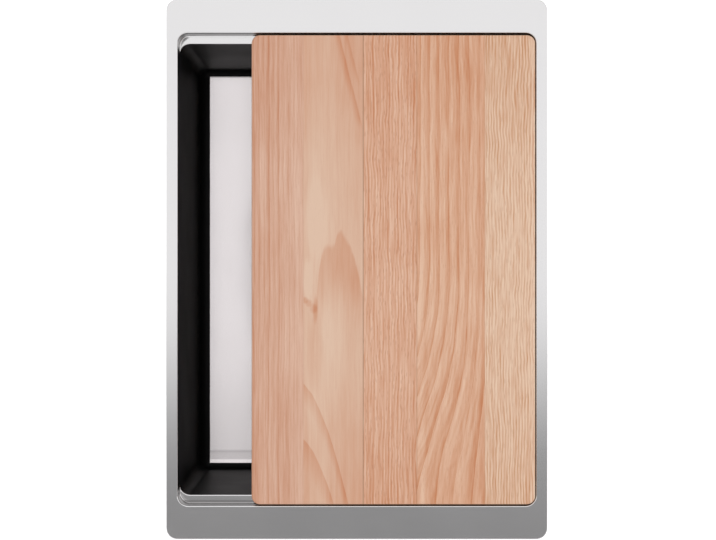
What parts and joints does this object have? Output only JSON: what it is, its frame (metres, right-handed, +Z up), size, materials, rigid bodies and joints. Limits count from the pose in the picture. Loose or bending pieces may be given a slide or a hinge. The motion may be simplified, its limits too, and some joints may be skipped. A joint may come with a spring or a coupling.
{
  "type": "kitchen sink",
  "caption": "Inset workstation sink: steel deck with front and rear ledges, black bowl, steel floor, sliding beech board, basket strainer waste, overflow hose and worktop clamps.",
  "frame": {"origin": "the middle of the bowl's opening, at the level of the worktop that the deck's seal lies on", "axes": "+Z up out of the bowl, +X to the right of a person at the sink, +Y to the rear, away from them"},
  "size_m": [0.36, 0.51, 0.2882],
  "materials": {
    "deck_steel": "brushed front to back",
    "floor_steel": "fine brushed",
    "black_coating": "satin black coating on steel",
    "beech_rose": "oiled beech, straight grain",
    "beech_flame": "oiled beech, flame grain",
    "beech_tan": "oiled beech, flecked",
    "beech_amber": "oiled beech, wide grain",
    "beech_pale": "oiled beech, fine rays",
    "foam": "closed-cell foam",
    "rubber": "matt moulded rubber",
    "waste_steel": "turned and polished",
    "white_plastic": "moulded polypropylene",
    "hose_plastic": "ribbed polyethylene",
    "zinc": "zinc plated",
    "rail_steel": "galvanised",
    "damping": "pressed bitumen pad"
  },
  "bodies": {
    "sink": {"deck": "deck_steel", "deck_seal": "foam", "bowl_walls": "black_coating", "bowl_floor": "floor_steel", "waste_cup": "waste_steel", "waste_upper_gasket": "rubber", "waste_lower_gasket": "rubber", "waste_body": "white_plastic", "waste_screw": "waste_steel", "overflow_cover": "waste_steel", "overflow_screw": "waste_steel", "overflow_gasket": "rubber", "overflow_elbow": "white_plastic", "overflow_hose": "hose_plastic", "hose_clip_upper": "zinc", "hose_clip_lower": "zinc", "rail_front": "rail_steel", "rail_rear": "rail_steel", "earth_tag": "rail_steel", "sound_pad_right": "damping", "sound_pad_left": "damping", "sound_pad_front": "damping", "sound_pad_rear_left": "damping", "sound_pad_rear_right": "damping", "sound_pad_floor_front": "damping", "sound_pad_floor_rear": "damping"},
    "cutting_board": {"board_stave_1": "beech_rose", "board_stave_2": "beech_flame", "board_stave_3": "beech_tan", "board_stave_4": "beech_amber", "board_stave_5": "beech_pale"},
    "strainer_basket": {"basket": "waste_steel", "basket_stopper": "rubber", "basket_stem": "white_plastic", "basket_knob": "waste_steel"},
    "bolt_front_left": {"clamp_bolt_front_left": "zinc"},
    "claw_front_left": {"clamp_claw_front_left": "zinc"},
    "nut_front_left": {"clamp_nut_front_left": "zinc"},
    "bolt_front_right": {"clamp_bolt_front_right": "zinc"},
    "claw_front_right": {"clamp_claw_front_right": "zinc"},
    "nut_front_right": {"clamp_nut_front_right": "zinc"},
    "bolt_rear_left": {"clamp_bolt_rear_left": "zinc"},
    "claw_rear_left": {"clamp_claw_rear_left": "zinc"},
    "nut_rear_left": {"clamp_nut_rear_left": "zinc"},
    "bolt_rear_right": {"clamp_bolt_rear_right": "zinc"},
    "claw_rear_right": {"clamp_claw_rear_right": "zinc"},
    "nut_rear_right": {"clamp_nut_rear_right": "zinc"}
  },
  "joints": [
    {"name": "board_slide", "type": "slide", "parent": "sink", "child": "cutting_board", "axis": [1, 0, 0], "range_m": [-0.0695, 0.0005]},
    {"name": "basket_lift", "type": "slide", "parent": "sink", "child": "strainer_basket", "axis": [0, 0, 1], "range_m": [0, 0.12]},
    {"name": "clamp_swing_front_left", "type": "hinge", "parent": "sink", "child": "bolt_front_left", "pos_m": [-0.105, -0.234, -0.0093], "axis": [0, 0, 1], "range_deg": [0, 90]},
    {"name": "claw_climb_front_left", "type": "slide", "parent": "bolt_front_left", "child": "claw_front_left", "axis": [0, 0, 1], "range_m": [0, 0.01]},
    {"name": "nut_turn_front_left", "type": "hinge", "parent": "claw_front_left", "child": "nut_front_left", "pos_m": [-0.105, -0.234, -0.05], "axis": [0, 0, 1], "range_deg": [0, 3600]},
    {"name": "clamp_swing_front_right", "type": "hinge", "parent": "sink", "child": "bolt_front_right", "pos_m": [0.105, -0.234, -0.0093], "axis": [0, 0, -1], "range_deg": [0, 90]},
    {"name": "claw_climb_front_right", "type": "slide", "parent": "bolt_front_right", "child": "claw_front_right", "axis": [0, 0, 1], "range_m": [0, 0.01]},
    {"name": "nut_turn_front_right", "type": "hinge", "parent": "claw_front_right", "child": "nut_front_right", "pos_m": [0.105, -0.234, -0.05], "axis": [0, 0, 1], "range_deg": [0, 3600]},
    {"name": "clamp_swing_rear_left", "type": "hinge", "parent": "sink", "child": "bolt_rear_left", "pos_m": [-0.105, 0.234, -0.0093], "axis": [0, 0, -1], "range_deg": [0, 90]},
    {"name": "claw_climb_rear_left", "type": "slide", "parent": "bolt_rear_left", "child": "claw_rear_left", "axis": [0, 0, 1], "range_m": [0, 0.01]},
    {"name": "nut_turn_rear_left", "type": "hinge", "parent": "claw_rear_left", "child": "nut_rear_left", "pos_m": [-0.105, 0.234, -0.05], "axis": [0, 0, 1], "range_deg": [0, 3600]},
    {"name": "clamp_swing_rear_right", "type": "hinge", "parent": "sink", "child": "bolt_rear_right", "pos_m": [0.105, 0.234, -0.0093], "axis": [0, 0, 1], "range_deg": [0, 90]},
    {"name": "claw_climb_rear_right", "type": "slide", "parent": "bolt_rear_right", "child": "claw_rear_right", "axis": [0, 0, 1], "range_m": [0, 0.01]},
    {"name": "nut_turn_rear_right", "type": "hinge", "parent": "claw_rear_right", "child": "nut_rear_right", "pos_m": [0.105, 0.234, -0.05], "axis": [0, 0, 1], "range_deg": [0, 3600]}
  ],
  "couplings": [
    {"joint": "nut_turn_front_left", "follows": "claw_climb_front_left", "rad_per_m": 6283.2},
    {"joint": "nut_turn_front_right", "follows": "claw_climb_front_right", "rad_per_m": 6283.2},
    {"joint": "nut_turn_rear_left", "follows": "claw_climb_rear_left", "rad_per_m": 6283.2},
    {"joint": "nut_turn_rear_right", "follows": "claw_climb_rear_right", "rad_per_m": 6283.2}
  ]
}
